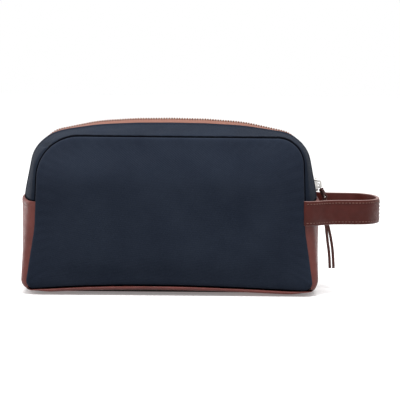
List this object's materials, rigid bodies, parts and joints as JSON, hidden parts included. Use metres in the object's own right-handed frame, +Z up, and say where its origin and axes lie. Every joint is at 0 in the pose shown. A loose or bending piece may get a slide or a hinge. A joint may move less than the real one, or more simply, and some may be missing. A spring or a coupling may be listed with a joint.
{
  "type": "shaving kit bag",
  "caption": "Padded zip-top shaving kit bag with leather base and side panels, a curved two-way mouth, a zip slider with a lace pull, and a leather wrist loop at one side.",
  "frame": {"origin": "centre of the bag's flat underside, on the surface it stands on", "axes": "+X along the bag's length towards the wrist loop, -Y towards the front face, +Z up"},
  "size_m": [0.3213, 0.118, 0.1534],
  "materials": {
    "navy_fabric": "smooth tight weave, soft sheen",
    "brown_leather": "smooth full grain, satin",
    "strap_leather": "smooth full grain, satin, painted edges",
    "lace_leather": "soft lace, matte",
    "zip_tape": "ribbed woven tape",
    "zip_coil": "glossy coil",
    "nickel": "polished nickel plate",
    "lining": "plain woven",
    "foam": "thin padding",
    "board": "plain"
  },
  "bodies": {
    "root": {"back_face_lower": "navy_fabric", "back_foam_lower": "foam", "base_board": "board", "base_leather": "brown_leather", "front_face_lower": "navy_fabric", "front_foam_lower": "foam", "gusset_left_lower": "navy_fabric", "gusset_right_lower": "navy_fabric", "lining_lower": "lining", "side_leather_left": "brown_leather", "side_leather_right": "brown_leather", "slip_pocket": "lining", "strap_anchor_back": "strap_leather", "strap_anchor_front": "strap_leather", "zip_coil_left_end": "zip_coil", "zip_coil_right_end": "zip_coil", "zip_stop_left": "nickel", "zip_stop_right": "nickel", "zip_tape_left_end": "zip_tape", "zip_tape_right_end": "zip_tape"},
    "front_mouth": {"front_face_upper": "navy_fabric", "front_foam_upper": "foam", "gusset_front_upper": "navy_fabric", "lining_front_upper": "lining", "zip_coil_front": "zip_coil", "zip_tape_front": "zip_tape"},
    "back_mouth": {"back_face_upper": "navy_fabric", "back_foam_upper": "foam", "gusset_back_upper": "navy_fabric", "lining_back_upper": "lining", "zip_coil_back": "zip_coil", "zip_tape_back": "zip_tape"},
    "slider": {"slider_body": "nickel", "slider_bridge": "nickel"},
    "tab": {"pull_tab": "nickel"},
    "lace": {"lace_loop": "lace_leather", "lace_tail_front": "lace_leather", "lace_tail_back": "lace_leather"},
    "loop": {"strap_outer": "strap_leather", "strap_inner": "strap_leather"}
  },
  "joints": [
    {"name": "front_mouth_tilt", "type": "hinge", "parent": "root", "child": "front_mouth", "pos_m": [0, -0.0595, 0.1], "axis": [-1, 0, 0], "range_deg": [-28, 0]},
    {"name": "back_mouth_tilt", "type": "hinge", "parent": "root", "child": "back_mouth", "pos_m": [0, 0.0595, 0.1], "axis": [1, 0, 0], "range_deg": [-28, 0]},
    {"name": "zip_slide", "type": "slide", "parent": "root", "child": "slider", "axis": [-0.1055, 0, 0.9944], "range_m": [0, 0.015]},
    {"name": "tab_swing", "type": "hinge", "parent": "slider", "child": "tab", "pos_m": [0.13296, 0, 0.09447], "axis": [0, -1, 0], "range_deg": [0, 75]},
    {"name": "lace_hang", "type": "hinge", "parent": "tab", "child": "lace", "pos_m": [0.1384, 0, 0.08332], "axis": [0, -1, 0], "range_deg": [-75, 0]},
    {"name": "loop_swing", "type": "hinge", "parent": "root", "child": "loop", "pos_m": [0.148, 0, 0.073], "axis": [0, -1, 0], "range_deg": [-25, 40]}
  ],
  "couplings": [
    {"joint": "lace_hang", "follows": "tab_swing", "ratio": -1}
  ]
}
